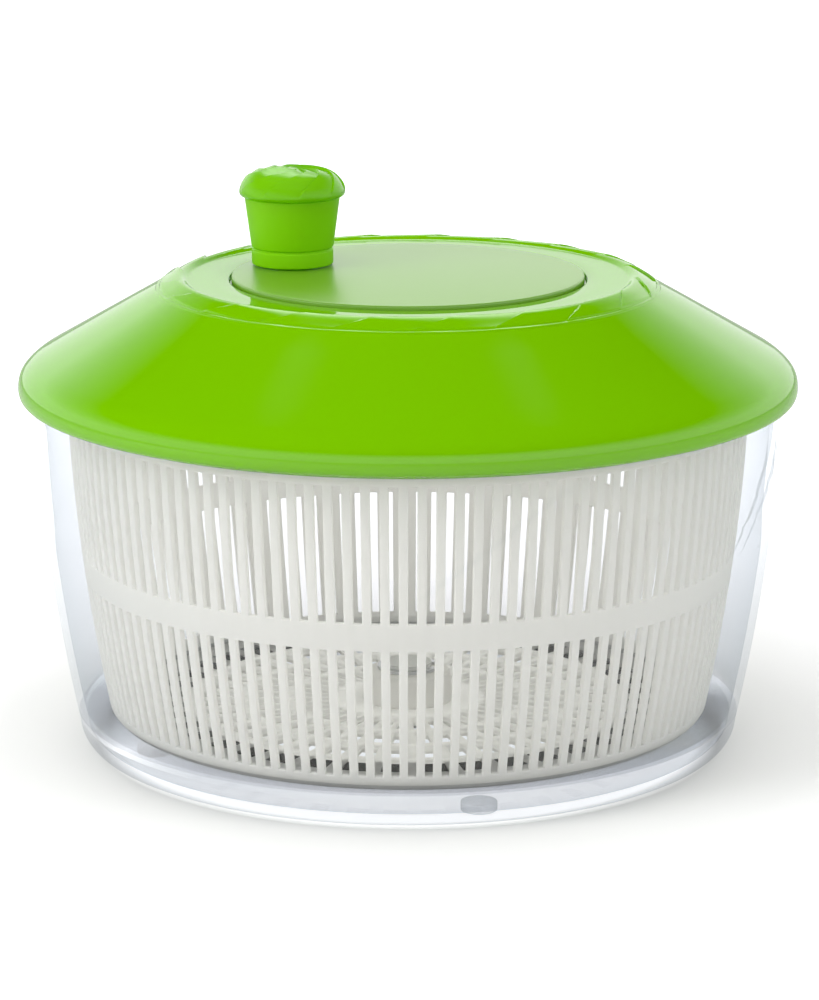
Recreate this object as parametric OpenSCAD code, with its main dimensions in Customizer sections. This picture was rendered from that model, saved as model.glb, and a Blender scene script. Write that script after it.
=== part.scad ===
// Salad spinner: a clear bowl, a slotted basket that spins in it, and a
// domed lid whose crank turns the basket through an internal gear train.
// The bowl's axis is +Z and the feet stand on z = 0. The front is -Y.

/* [Bowl] */
// Outer radius of the bowl at its rim
rim_r = 125; // [112:1:150]
// Height of the rim above the table
rim_z = 121; // [100:1:150]
// Outer radius where the wall rises from the rounded heel
heel_r = 111.2; // [100:0.2:118]
// Radius of the rounded heel
heel_round = 8; // [4:0.5:12]
// Thickness of the clear wall
bowl_wall = 2.6; // [2:0.1:4]
// Thickness of the bowl's floor
bowl_floor = 3.5; // [2.5:0.1:5]

/* [Feet and pivot] */
// Number of foot pads
foot_count = 4; // [3:1:6]
// Radius of the circle that the pads stand on
foot_circle = 88; // [60:1:98]
// Radius of a pad
foot_r = 6; // [4:0.5:9]
// How far a pad stands out below the bowl
foot_proud = 1.2; // [0.6:0.1:2.5]
// Depth of the pocket that holds a pad
foot_pocket = 2; // [1:0.1:2.2]
// Radius of the steel pivot pin
pivot_r = 4; // [3:0.1:6]
// Height of the pivot pin above the bowl's floor
pivot_rise = 12; // [9:0.5:18]

/* [Basket] */
// Space between the bowl's wall and the basket
basket_gap = 8.5; // [5:0.5:14]
// Thickness of the basket's wall
basket_wall = 2; // [1.6:0.1:3]
// Thickness of the basket's floor
basket_floor = 2.5; // [2:0.1:4]
// Space between the bowl's floor and the basket's floor
basket_lift_gap = 5.7; // [4:0.1:10]
// Slots round each of the two rows
slot_count = 120; // [40:4:120]
// Width of a slot in the upper row
upper_slot = 3; // [1.5:0.1:3.2]
// Width of a slot in the lower row
lower_slot = 2.6; // [1.5:0.1:2.8]
// Height of the solid band between the two rows
band_h = 9; // [5:0.5:15]
// Height of the band's lower edge above the table
band_z = 59; // [40:1:70]
// Height of the slotless rim ring
basket_rim_h = 5; // [4:0.5:9]
// Width of the rim ring
basket_rim_w = 4.4; // [3:0.1:7]
// Number of drive notches in the rim
notch_count = 8; // [4:1:12]
// Width of a drive notch
notch_w = 8; // [5:0.5:12]
// Depth of a drive notch
notch_d = 4; // [2:0.1:4.4]
// Radius of a drain hole in the floor
drain_r = 3; // [1.5:0.5:4]

/* [Lid] */
// How far the lid's widest part stands out past the bowl
lid_overhang = 5; // [4:0.5:12]
// Height of the deck above the bowl's rim
lid_rise = 36.5; // [34:0.5:50]
// Thickness of the lid's shell
lid_wall = 2.2; // [1.8:0.1:3]
// Radius of the raised rope ring round the deck
crest_r = 77.4; // [74:0.2:92]
// Height of the rope ring above the deck
crest_rise = 2.9; // [1:0.1:5]
// How far the lid's lower edge hangs below the bowl's rim
lip_drop = 2; // [1:0.1:4]
// Number of stiffening ribs inside the skirt
rib_count = 12; // [6:1:24]
// Thickness of a rib
rib_t = 1.4; // [1:0.1:2.5]

/* [Crank] */
// Radius of the crank disc
disc_r = 58.6; // [50:0.2:66]
// Thickness of the crank disc
disc_t = 2.7; // [2:0.1:4]
// How far the disc's top stands above the deck
disc_proud = 1.8; // [0.5:0.1:3]
// Radius of the crank's shaft
shaft_r = 9; // [7.8:0.1:12]

/* [Knob] */
// Distance from the crank's axis to the knob's axis
crank_arm = 42.5; // [30:0.5:44]
// Direction of the knob, from +X towards +Y
knob_angle = 156; // [0:1:360]
// Radius of the knob's collar
collar_r = 13.7; // [10:0.1:15]
// Radius at the top of the knob's taper
taper_r = 16; // [12:0.1:18]
// Radius of the knob's cap
cap_r = 17.8; // [14:0.1:20]
// Height of the collar
collar_h = 6; // [4:0.5:9]
// Height of the taper
taper_h = 16.7; // [14:0.1:24]
// Height of the cap
cap_h = 9.8; // [7:0.1:13]
// Radius of the post that the knob turns on
post_r = 5; // [4:0.1:6.5]

/* [Gears] */
// Gear module, the pitch diameter divided by the teeth
gear_m = 1.6; // [1.4:0.02:1.95]
// Teeth on the sun gear
sun_teeth = 15; // [15:6:15]
// Teeth on each idler gear
idler_teeth = 21; // [21:6:21]
// Length of the teeth along the axis
tooth_len = 6.3; // [5:0.1:9]
// Pressure angle
press_angle = 20; // [20:1:22]
// Free play between teeth on the pitch circle
backlash = 0.24; // [0.1:0.01:0.4]
// Radius of the idler pins
idler_pin_r = 2.5; // [2:0.1:4]
// Radius of the sun gear's spindle
spindle_r = 7.5; // [6.5:0.1:9.2]

/* [Drive plate] */
// Thickness of the drive plate
plate_t = 2.2; // [1.8:0.1:3.5]
// Radius of the hub
hub_r = 12; // [11.8:0.1:20]
// Number of windows in the drive plate
window_count = 8; // [4:1:12]
// Radius of a window
window_r = 10; // [4:0.5:14]

/* [Fasteners] */
// Radius of the large screws' shank
screw_r = 2; // [1.5:0.1:2.5]
// Radius of the large screws' head
screw_head_r = 4; // [3:0.1:5]
// Height of a screw head
screw_head_h = 2.2; // [1.5:0.1:3]
// Radius of the carrier screws' shank
small_screw_r = 1.75; // [1.2:0.05:2]
// Thickness of a washer
washer_t = 0.8; // [0.5:0.1:1.2]

/* [Clearances] */
// Radial clearance of a turning fit
run_fit = 0.06; // [0.03:0.01:0.1]
// Gap between faces that pass each other
face_gap = 0.4; // [0.3:0.05:0.8]
// How far a pressed piece is larger than its hole
press_bite = 0.05; // [0.02:0.01:0.1]
// How far a screw's thread bites into its pilot hole
thread_bite = 0.25; // [0.1:0.05:0.4]
// Clearance round a keyed or plugged end
plug_gap = 0.1; // [0.05:0.05:0.2]

/* [Hidden] */
$fn = 96;

// --- bowl and pivot ---
wall_steps = 10;
bowl_z = foot_proud;
floor_z = bowl_z + bowl_floor;
wall_z = bowl_z + heel_round;
pivot_top = floor_z + pivot_rise;
pivot_boss_r = pivot_r + 4;
pivot_boss_z = floor_z + 4;

// Outer radius of the bowl at a height: it flares at the foot and straightens at the rim
function bowl_r(z) =
    let (t = min(1, max(0, (z - wall_z) / (rim_z - wall_z))))
    heel_r + (rim_r - heel_r) * (1.75 * t - 0.75 * t * t);

// --- basket ---
basket_z = floor_z + basket_lift_gap;
basket_floor_z = basket_z + basket_floor;
basket_top = rim_z - 2.5;
basket_rim_z = basket_top - basket_rim_h;
basket_heel = 5.5;
basket_rim_r = bowl_r(basket_rim_z) - bowl_wall - basket_gap + 0.6;
function basket_r(z) = bowl_r(z) - bowl_wall - basket_gap;
slot_margin = 0.6;
lower_slot_z = basket_z + basket_heel;
upper_slot_z = band_z + band_h;
upper_slot_top = basket_rim_z - slot_margin;
half_slot = 180 / slot_count;
half_notch = 180 / notch_count;
bush_r = pivot_r + 4;
bush_z = pivot_boss_z + 0.6;
flange_t = 1.4;
bush_hub_z = bush_z + flange_t + face_gap;
bush_hub_r = bush_r + 6;
bush_hub_top = bush_hub_z + 12;
clip_t = 1;
clip_z = bush_hub_top + face_gap;
clip_groove = 0.8;
bush_top = clip_z + clip_t + 1.2;

// --- lid ---
lid_r = rim_r + lid_overhang;
lip_z = rim_z - lip_drop;
deck_z = rim_z + lid_rise;
disc_top = deck_z + disc_proud;
disc_z = disc_top - disc_t;
well_z = disc_z - face_gap;
well_r = disc_r + 0.7;
well_under = well_z - lid_wall;
collar_under = well_under - 1.6;
seat_z = rim_z + 0.3;
lip_in_r = rim_r + 0.35;
plug_r = rim_r - bowl_wall - 0.6;

// --- crank stack, downwards from the lid's collar ---
web_top = collar_under - face_gap;
web_t = 2.5;
web_z = web_top - web_t;
hex_r = 6.5;
gear_top = web_z - 1.7;
gear_z = gear_top - tooth_len;
pin_head_t = 1;
pin_head_z = gear_top + 0.3;
carrier_top = gear_z - 1.2;
carrier_t = 3;
carrier_z = carrier_top - carrier_t;
bush_flange_t = 0.8;
washer_r = 8.5;

// --- gears ---
ring_teeth = sun_teeth + 2 * idler_teeth;
addendum = 0.8 * gear_m;
dedendum = gear_m;
gear_arm = gear_m * (sun_teeth + idler_teeth) / 2;
ring_pitch_r = gear_m * ring_teeth / 2;
drum_r = ring_pitch_r + dedendum + 3.3;
flank_steps = 4;

// --- carrier and its bosses ---
boss_r = 5;
boss_circle = drum_r + boss_r + 8;
boss_count = 3;
boss_angle = 60;
sun_bush_r = spindle_r + 2;

// --- drive plate ---
plate_z = basket_top + face_gap;
hub_top = carrier_z - washer_t;
spindle_hex_r = spindle_r - 1.5;
hub_recess_r = hub_r - 4;
hub_recess = screw_head_h + washer_t + 0.6;
hub_floor_z = plate_z + hub_recess;
hub_floor_t = 3;
socket_z = hub_floor_z + hub_floor_t;
window_circle = (hub_r + basket_rim_r) / 2 + 8;

// --- knob ---
knob_z = disc_top + 0.5;
collar_top = knob_z + collar_h;
taper_top = collar_top + taper_h;
post_top = taper_top - 6.7;
cup_z = post_top - face_gap;
cup_r = taper_r - 6;
knob_washer_r = post_r + 2.5;

// Tooth and point functions, all angles in degrees
function involute(a) = tan(a) - a * PI / 180;
function flank_half(r, teeth, play) =
    let (rb = gear_m * teeth / 2 * cos(press_angle),
         a = r > rb ? acos(rb / r) : 0)
    90 / teeth + play + (involute(press_angle) - involute(a)) * 180 / PI;
function tooth_side(r0, r1, teeth, play) =
    [for (i = [0 : flank_steps])
        let (r = r0 + (r1 - r0) * i / flank_steps)
        [r, flank_half(r, teeth, play)]];
function tooth(r_root, r0, r1, teeth, play, turn) =
    let (side = tooth_side(r0, r1, teeth, play),
         n = len(side) - 1)
    concat([[r_root, turn - side[0][1]]],
           [for (i = [0 : n]) [side[i][0], turn - side[i][1]]],
           [for (i = [n : -1 : 0]) [side[i][0], turn + side[i][1]]],
           [[r_root, turn + side[0][1]]]);
function polar(p) = [p[0] * cos(p[1]), p[0] * sin(p[1])];

// Outline of an external gear with a tooth centred on +X
module gear_outline(teeth) {
    pitch_r = gear_m * teeth / 2;
    root_r = pitch_r - dedendum;
    play = -backlash / 4 / pitch_r * 180 / PI;
    start_r = max(root_r + 0.05, pitch_r * cos(press_angle) + 0.02);
    polygon([for (k = [0 : teeth - 1])
        for (p = tooth(root_r, start_r, pitch_r + addendum, teeth, play, 360 * k / teeth))
            polar(p)]);
}

// Outline of the space inside a ring gear, with a space centred on +X
module ring_space(teeth) {
    pitch_r = gear_m * teeth / 2;
    play = backlash / 4 / pitch_r * 180 / PI;
    tip_r = pitch_r - addendum;
    root_r = pitch_r + dedendum;
    polygon([for (k = [0 : teeth - 1])
        for (p = tooth(tip_r, tip_r + 0.02, root_r, teeth, play, 360 * k / teeth))
            polar(p)]);
}

// A round bar between two heights
module bar(r, z0, z1) {
    translate([0, 0, z0]) cylinder(r = r, h = z1 - z0);
}

// A hexagonal bar between two heights, r to its corners
module hex_bar(r, z0, z1) {
    translate([0, 0, z0]) cylinder(r = r, h = z1 - z0, $fn = 6);
}

// A flat ring between two heights
module collar(r_in, r_out, z0, z1) {
    difference() {
        bar(r_out, z0, z1);
        bar(r_in, z0 - 1, z1 + 1);
    }
}

// Copies of a piece round the axis
module around(count, radius, first = 0) {
    for (k = [0 : count - 1])
        rotate(first + 360 * k / count) translate([radius, 0, 0]) children();
}

// Moves a piece to the knob's axis
module at_knob() {
    rotate(knob_angle) translate([crank_arm, 0, 0]) children();
}

// A screw with its head on the lower side of z0, its shank rising from there
module screw_up(r, head_r, z0, length) {
    bar(head_r, z0 - screw_head_h, z0);
    bar(r, z0 - 0.2, z0 + length);
}

module bowl() color([0.93, 0.95, 0.95, 0.4]) {
    difference() {
        rotate_extrude() polygon(concat(
            [[0, bowl_z], [heel_r - heel_round, bowl_z]],
            [for (a = [15 : 15 : 75])
                [heel_r - heel_round + heel_round * sin(a), bowl_z + heel_round * (1 - cos(a))]],
            [for (i = [0 : wall_steps])
                let (z = wall_z + (rim_z - wall_z) * i / wall_steps) [bowl_r(z), z]],
            [for (i = [wall_steps : -1 : 0])
                let (z = wall_z + (rim_z - wall_z) * i / wall_steps) [bowl_r(z) - bowl_wall, z]],
            [for (a = [60 : -30 : 30])
                let (r = heel_round - bowl_wall)
                [heel_r - heel_round + r * sin(a), floor_z + (wall_z - floor_z) * (1 - cos(a))]],
            [[heel_r - heel_round - 2, floor_z],
             [pivot_boss_r + 2, floor_z], [pivot_boss_r, pivot_boss_z], [0, pivot_boss_z]]));
        bar(pivot_r - press_bite, bowl_z + 1.5, pivot_top);
        rotate(-75) around(foot_count, foot_circle) bar(foot_r, -1, bowl_z + foot_pocket);
    }
}

module foot_pads() color([0.9, 0.92, 0.92, 0.6]) {
    rotate(-75) around(foot_count, foot_circle) bar(foot_r - plug_gap, 0, bowl_z + foot_pocket);
}

module pivot_pin() color("silver") {
    bar(pivot_r, bowl_z + 1.5, pivot_top - 1);
    translate([0, 0, pivot_top - 1]) cylinder(r1 = pivot_r, r2 = pivot_r - 1, h = 1);
}

module basket_bush() color("gainsboro") {
    difference() {
        union() {
            bar(bush_r + 2, bush_z, bush_z + flange_t);
            bar(bush_r, bush_z, bush_top);
        }
        bar(pivot_r + run_fit, bush_z - 1, pivot_top + 0.3);
        collar(bush_r - clip_groove, bush_r + 1, clip_z, clip_z + clip_t);
    }
}

module bush_clip() color("silver") {
    difference() {
        collar(bush_r - clip_groove, bush_r + 2.4, clip_z, clip_z + clip_t);
        translate([0, -bush_r / 3, clip_z - 1]) cube([bush_r * 2, bush_r / 1.5, clip_t + 2]);
    }
}

// One slot through the wall, centred on its own angle
module slot(width, z0, z1) {
    r = basket_r(z0) - basket_wall - 6;
    translate([r, -width / 2, z0]) cube([basket_wall + 14, width, z1 - z0]);
}

module basket_shell() {
    wall_heights = [lower_slot_z - 1.5, band_z + band_h / 2, basket_rim_z];
    rotate_extrude() polygon(concat(
        [[bush_r + run_fit, bush_hub_z], [bush_hub_r, bush_hub_z],
         [bush_hub_r + 1, basket_z], [basket_r(lower_slot_z) - 4, basket_z]],
        [for (z = wall_heights) [basket_r(z), z]],
        [[basket_rim_r, basket_rim_z], [basket_rim_r, basket_top],
         [basket_rim_r - basket_rim_w, basket_top], [basket_rim_r - basket_rim_w, basket_rim_z]],
        [for (i = [len(wall_heights) - 1 : -1 : 0])
            let (z = wall_heights[i]) [basket_r(z) - basket_wall, z]],
        [[basket_r(lower_slot_z) - basket_wall - 3, basket_floor_z],
         [bush_hub_r + 4, basket_floor_z], [bush_hub_r, bush_hub_top], [bush_r + run_fit, bush_hub_top]]));
}

module basket() color([0.96, 0.95, 0.92]) {
    drain_rings = [[34, 18], [50, 27], [66, 36], [82, 45]];
    difference() {
        basket_shell();
        around(slot_count, 0, half_slot) slot(lower_slot, lower_slot_z, band_z);
        around(slot_count, 0, half_slot) slot(upper_slot, upper_slot_z, upper_slot_top);
        for (ring = drain_rings)
            around(ring[1], ring[0], 180 / ring[1]) bar(drain_r, basket_z - 1, basket_floor_z + 1);
        around(notch_count, basket_rim_r, half_notch)
            translate([-basket_rim_w - 1, -notch_w / 2, basket_top - notch_d])
                cube([basket_rim_w + 2, notch_w, notch_d + 1]);
    }
}

// One stiffening rib, drawn as its side view
module lid_rib() {
    rotate([90, 0, 0]) translate([0, 0, -rib_t / 2]) linear_extrude(rib_t)
        polygon([[rim_r - 4, seat_z + 1], [lid_r - 1.2, seat_z + 1], [lid_r - 1.4, rim_z + 5],
                 [lid_r - 5, rim_z + 9], [lid_r - 11, rim_z + 12.4], [lid_r - 12.5, rim_z + 11.5]]);
}

module lid_shell() color([0.44, 0.75, 0.02, 0.85]) {
    slope_in = lid_wall * 1.15;
    difference() {
        union() {
            rotate_extrude() polygon([
                // outside, from the tucked lower edge up to the rope ring and the deck
                [lip_in_r, lip_z], [lid_r - 3.2, lip_z], [lid_r - 0.8, lip_z + 1.4], [lid_r, rim_z + 1],
                [lid_r - 0.1, rim_z + 3.5], [lid_r - 1.2, rim_z + 6.6], [lid_r - 3.8, rim_z + 9.4],
                [lid_r - 10.2, rim_z + 13.5], [crest_r + 6.6, deck_z - 2.2],
                [crest_r + 4.6, deck_z - 0.9], [crest_r + 1.8, deck_z + crest_rise - 0.8],
                [crest_r, deck_z + crest_rise], [crest_r - 2.4, deck_z + crest_rise - 0.9],
                [(crest_r + well_r) / 2, deck_z + 0.6], [well_r, deck_z], [well_r, well_z],
                [0, well_z], [0, well_under],
                // inside, from the well back down to the seat and the plug ring
                [well_r + lid_wall, well_under], [well_r + lid_wall + 1, deck_z - lid_wall],
                [crest_r + 1, deck_z - lid_wall - 0.6],
                [lid_r - 11.2, rim_z + 13.5 - slope_in], [lid_r - 5.6, rim_z + 9.4 - 1.6],
                [lid_r - 3.2, rim_z + 5.4], [lid_r - 2.4, seat_z + 1.7],
                [plug_r - 1.7, seat_z + 1.7], [plug_r - 1.7, rim_z - 3.5], [plug_r, rim_z - 3.5],
                [plug_r, seat_z], [lip_in_r, seat_z]]);
            around(rib_count, 0) lid_rib();
            bar(shaft_r + 3, collar_under, well_z);
            around(boss_count, boss_circle, boss_angle) bar(boss_r, carrier_top, deck_z - 1);
        }
        bar(shaft_r + run_fit, collar_under - 1, well_z + 1);
        around(boss_count, boss_circle, boss_angle)
            bar(small_screw_r - thread_bite, carrier_top - 1, carrier_top + 11);
    }
}

module gear_carrier() color("whitesmoke") {
    difference() {
        bar(boss_circle + boss_r + 1.5, carrier_z, carrier_top);
        bar(sun_bush_r - press_bite, carrier_z - 1, carrier_top + 1);
        around(3, gear_arm) bar(idler_pin_r - press_bite, carrier_z - 1, carrier_top + 1);
        around(boss_count, boss_circle, boss_angle)
            bar(small_screw_r + plug_gap, carrier_z - 1, carrier_top + 1);
    }
}

module carrier_screws() color("silver") {
    around(boss_count, boss_circle, boss_angle)
        screw_up(small_screw_r, screw_head_r - 0.5, carrier_z, carrier_t + 9);
}

module idler_pins() color("silver") {
    around(3, gear_arm) {
        bar(idler_pin_r, carrier_z, pin_head_z + 0.1);
        bar(idler_pin_r + 1.5, pin_head_z, pin_head_z + pin_head_t);
    }
}

module sun_bush() color("gainsboro") {
    difference() {
        union() {
            bar(sun_bush_r, carrier_z, carrier_top);
            bar(sun_bush_r + 2, carrier_top, carrier_top + bush_flange_t);
        }
        bar(spindle_r + run_fit, carrier_z - 1, carrier_top + 2);
    }
}

module crank_disc() color([0.55, 0.72, 0.3, 0.9]) {
    edge = 0.8;
    difference() {
        union() {
            rotate_extrude() polygon([[0, disc_z], [disc_r, disc_z], [disc_r, disc_top - edge],
                [disc_r - 0.3, disc_top - 0.3], [disc_r - edge, disc_top], [0, disc_top]]);
            bar(shaft_r, web_top, disc_z + 1);
            hex_bar(hex_r, web_z + face_gap, web_top + 1);
            at_knob() bar(post_r, disc_top - 1, post_top);
        }
        bar(screw_r - thread_bite, web_z - 1, disc_z + 0.6);
        at_knob() bar(screw_r - thread_bite, post_top - 13, post_top + 1);
    }
}

module ring_gear() color("whitesmoke") {
    difference() {
        bar(drum_r, gear_z - 0.3, web_top);
        translate([0, 0, gear_z - 1]) linear_extrude(web_z - gear_z + 1) ring_space(ring_teeth);
        hex_bar(hex_r + plug_gap, web_z - 1, web_top + 1);
    }
}

module ring_gear_washer() color("silver") {
    collar(screw_r + plug_gap, washer_r, web_z - washer_t, web_z);
}

module ring_gear_screw() color("silver") {
    screw_up(screw_r, screw_head_r, web_z - washer_t, washer_t + web_t + 3);
}

module knob_washer() color("silver") {
    at_knob() collar(screw_r + plug_gap, knob_washer_r, post_top, post_top + washer_t);
}

module knob_screw() color("silver") {
    at_knob() translate([0, 0, post_top + washer_t]) mirror([0, 0, 1])
        screw_up(screw_r, screw_head_r, 0, washer_t + 11);
}

module knob_body() color([0.42, 0.68, 0.08, 0.9]) {
    groove = 0.5;
    at_knob() difference() {
        rotate_extrude() polygon([[0, knob_z], [collar_r - 0.8, knob_z], [collar_r, knob_z + 0.8],
            [collar_r, collar_top - 1], [collar_r - groove, collar_top - 0.7],
            [collar_r - groove, collar_top - 0.2], [collar_r + 0.1, collar_top],
            [taper_r, taper_top], [0, taper_top]]);
        bar(post_r + run_fit, knob_z - 1, cup_z + 1);
        bar(cup_r, cup_z, taper_top + 1);
    }
}

module knob_cap() color([0.45, 0.72, 0.08, 0.9]) {
    skirt = 2.3;
    dome_steps = 5;
    at_knob() difference() {
        rotate_extrude() polygon(concat(
            [[0, taper_top], [cap_r - 1.2, taper_top], [cap_r - 0.2, taper_top + 1], [cap_r, taper_top + skirt]],
            [for (i = [1 : dome_steps])
                let (a = 90 * i / dome_steps)
                [cap_r * cos(a), taper_top + skirt + (cap_h - skirt) * sin(a)]]));
        bar(cap_r - 7, taper_top - 1, taper_top + 3.5);
    }
    at_knob() collar(cup_r - 1.8, cup_r - plug_gap, taper_top - 2.2, taper_top + 4);
}

module idler_gear(k) color("oldlace") {
    rotate(120 * (k - 1)) translate([gear_arm, 0, 0]) difference() {
        union() {
            translate([0, 0, gear_z]) rotate(180 - 180 / idler_teeth)
                linear_extrude(tooth_len) gear_outline(idler_teeth);
            bar(idler_pin_r + 2.5, carrier_top + 0.3, gear_z + 1);
        }
        bar(idler_pin_r + run_fit, carrier_top - 1, gear_top + 1);
    }
}
module idler_gear_1() { idler_gear(1); }
module idler_gear_2() { idler_gear(2); }
module idler_gear_3() { idler_gear(3); }

module sun_gear() color("oldlace") {
    difference() {
        union() {
            translate([0, 0, gear_z]) linear_extrude(tooth_len) gear_outline(sun_teeth);
            bar(spindle_r, hub_top, gear_z + 1);
            hex_bar(spindle_hex_r, socket_z + 0.5, hub_top + 1);
        }
        bar(screw_head_r + 2, gear_top - 2, gear_top + 1);
        bar(screw_r - thread_bite, socket_z - 1, socket_z + 9);
    }
}

module thrust_washer() color("silver") {
    collar(spindle_r + plug_gap, spindle_r + 3.5, hub_top, carrier_z - 0.3);
}

module drive_plate() color([0.93, 0.93, 0.9]) {
    lug_in = basket_rim_r - basket_rim_w + face_gap;
    lug_len = basket_rim_w - 2 * face_gap;
    lug_w = notch_w - 2 * face_gap;
    difference() {
        union() {
            bar(basket_rim_r, plate_z, plate_z + plate_t);
            bar(hub_r, plate_z, hub_top);
            around(notch_count, lug_in, half_notch)
                translate([0, -lug_w / 2, basket_top - notch_d + face_gap])
                    cube([lug_len, lug_w, notch_d + plate_t / 2]);
        }
        bar(hub_recess_r, plate_z - 1, hub_floor_z);
        bar(screw_r + plug_gap, hub_floor_z - 1, socket_z + 1);
        hex_bar(spindle_hex_r + plug_gap, socket_z, hub_top + 1);
        around(window_count, window_circle)
            bar(window_r, plate_z - 1, plate_z + plate_t + 1);
    }
}

module drive_washer() color("silver") {
    collar(screw_r + plug_gap, hub_recess_r - 1, hub_floor_z - washer_t, hub_floor_z);
}

module drive_screw() color("silver") {
    screw_up(screw_r, screw_head_r, hub_floor_z - washer_t, washer_t + hub_floor_t + 7);
}

bowl();
foot_pads();
pivot_pin();
basket_bush();
bush_clip();
basket();
lid_shell();
gear_carrier();
carrier_screws();
idler_pins();
sun_bush();
crank_disc();
ring_gear();
ring_gear_washer();
ring_gear_screw();
knob_washer();
knob_screw();
knob_body();
knob_cap();
idler_gear_1();
idler_gear_2();
idler_gear_3();
sun_gear();
thrust_washer();
drive_plate();
drive_washer();
drive_screw();
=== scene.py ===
# %% [markdown]
# # Salad spinner
# The object is a clear bowl, a white slotted basket and a domed green lid with a crank on top.
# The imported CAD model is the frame: it holds every piece at its real size and every joint. This script
# gives the visible pieces their moulded shapes, and gives every piece the plastic or metal it is made of.

# %% Load the frame
import bpy
import bmesh
import math
from mathutils import Matrix, Vector


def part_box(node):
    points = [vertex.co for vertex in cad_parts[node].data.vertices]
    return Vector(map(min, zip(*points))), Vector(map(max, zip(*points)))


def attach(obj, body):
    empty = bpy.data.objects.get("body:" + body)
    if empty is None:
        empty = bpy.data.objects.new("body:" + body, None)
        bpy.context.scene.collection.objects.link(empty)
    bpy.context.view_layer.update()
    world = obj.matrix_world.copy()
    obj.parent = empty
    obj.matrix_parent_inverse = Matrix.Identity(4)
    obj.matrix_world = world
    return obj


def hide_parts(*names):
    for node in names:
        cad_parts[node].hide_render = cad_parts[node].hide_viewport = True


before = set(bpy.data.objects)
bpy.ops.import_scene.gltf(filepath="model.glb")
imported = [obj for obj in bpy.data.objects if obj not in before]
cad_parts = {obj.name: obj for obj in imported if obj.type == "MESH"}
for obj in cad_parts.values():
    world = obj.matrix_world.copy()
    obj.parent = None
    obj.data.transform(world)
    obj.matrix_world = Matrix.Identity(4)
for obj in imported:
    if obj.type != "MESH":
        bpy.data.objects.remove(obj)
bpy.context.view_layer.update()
MM = 0.001

# %% [markdown]
# ## Sizes
# The driving sizes are read from the frame, so that each new piece lands where the CAD piece is.
# Heights and radii are in millimetres here, and a mesh is scaled to metres once, when it is finished.

# %% Sizes from the frame
def top(node):
    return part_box(node)[1].z / MM


def bottom(node):
    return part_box(node)[0].z / MM


def radius(node):
    low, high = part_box(node)
    return (high.x - low.x) / 2 / MM


LIP_ABOVE_DRIVE_PLATE = 4.1
DISC_BELOW_KNOB = 0.5
DECK_BELOW_DISC = 1.3
LID_R = radius("lid_shell")
LIP_Z = bottom("drive_plate") + LIP_ABOVE_DRIVE_PLATE
RIM_Z = top("bowl")
RIM_R = radius("bowl")
BOWL_Z = bottom("bowl")
DISC_R = (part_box("crank_disc")[1].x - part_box("crank_disc")[0].x) / 2 / MM
DISC_TOP = bottom("knob_body") - DISC_BELOW_KNOB
DECK_Z = DISC_TOP - DECK_BELOW_DISC
KNOB_TOP = top("knob_cap")
knob_low, knob_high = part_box("knob_cap")
KNOB_X = (knob_low.x + knob_high.x) / 2 / MM
KNOB_Y = (knob_low.y + knob_high.y) / 2 / MM
print("lid radius", LID_R, "rim", RIM_R, RIM_Z, "disc", DISC_R, DISC_TOP, "knob", KNOB_X, KNOB_Y, KNOB_TOP)

# %% [markdown]
# ## Camera
# The view is a product view: far away with a long lens, so that the round shapes keep their proportions,
# and tilted about thirteen degrees down, so that the lid's top shows as a thin ellipse.

# %% Camera
CAMERA_DISTANCE = 1.3097
CAMERA_HEIGHT = 0.3958
CAMERA_SIDE = 0.00048
CAMERA_TILT = 13.479
LENS_MM = 144
SENSOR_MM = 36
camera_data = bpy.data.cameras.new("camera")
camera_data.lens = LENS_MM
camera_data.sensor_width = SENSOR_MM
camera = bpy.data.objects.new("camera", camera_data)
bpy.context.scene.collection.objects.link(camera)
camera.location = (CAMERA_SIDE, -CAMERA_DISTANCE, CAMERA_HEIGHT)
camera.rotation_euler = (math.radians(90 - CAMERA_TILT), 0, 0)
bpy.context.scene.camera = camera

# %% [markdown]
# ## Helpers for meshes
# Nearly every piece is turned: its outline is drawn once and spun about an axis. Corners are rounded
# by a helper, so an outline lists only the corners that its shape needs.

# %% Mesh helpers
def rounded(corners, steps=5):
    """The outline with each corner (r, z, round) cut back and replaced by a short curve."""
    points = []
    for i, (r, z, cut) in enumerate(corners):
        here = Vector((r, z))
        if cut == 0 or i in (0, len(corners) - 1):
            points.append((r, z))
            continue
        before = Vector(corners[i - 1][:2]) - here
        after = Vector(corners[i + 1][:2]) - here
        cut_before = min(cut, before.length * 0.48)
        cut_after = min(cut, after.length * 0.48)
        a = here + before.normalized() * cut_before
        b = here + after.normalized() * cut_after
        for k in range(steps + 1):
            t = k / steps
            points.append(tuple(a * (1 - t) ** 2 + here * 2 * t * (1 - t) + b * t ** 2))
    return points


def divided(points, longest):
    """The outline with its long straight stretches divided, so that it can be bent later."""
    out = [points[0]]
    for (r0, z0), (r1, z1) in zip(points, points[1:]):
        count = max(1, math.ceil(math.hypot(r1 - r0, z1 - z0) / longest))
        out += [(r0 + (r1 - r0) * k / count, z0 + (z1 - z0) * k / count) for k in range(1, count + 1)]
    return out


def turned(points, steps, closed=True):
    """A bmesh of the outline, in mm, spun full circle about Z. A closed outline joins its ends."""
    bm = bmesh.new()
    verts = [bm.verts.new((r, 0, z)) for r, z in points]
    pairs = list(zip(verts, verts[1:]))
    if closed and points[0][0] > 0 and points[-1][0] > 0:
        pairs.append((verts[-1], verts[0]))
    edges = [bm.edges.new(pair) for pair in pairs]
    bmesh.ops.spin(bm, geom=verts + edges, cent=(0, 0, 0), axis=(0, 0, 1), angle=math.tau,
                   steps=steps, use_merge=True)
    bmesh.ops.remove_doubles(bm, verts=bm.verts, dist=0.0005)
    bmesh.ops.recalc_face_normals(bm, faces=bm.faces)
    return bm


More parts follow.
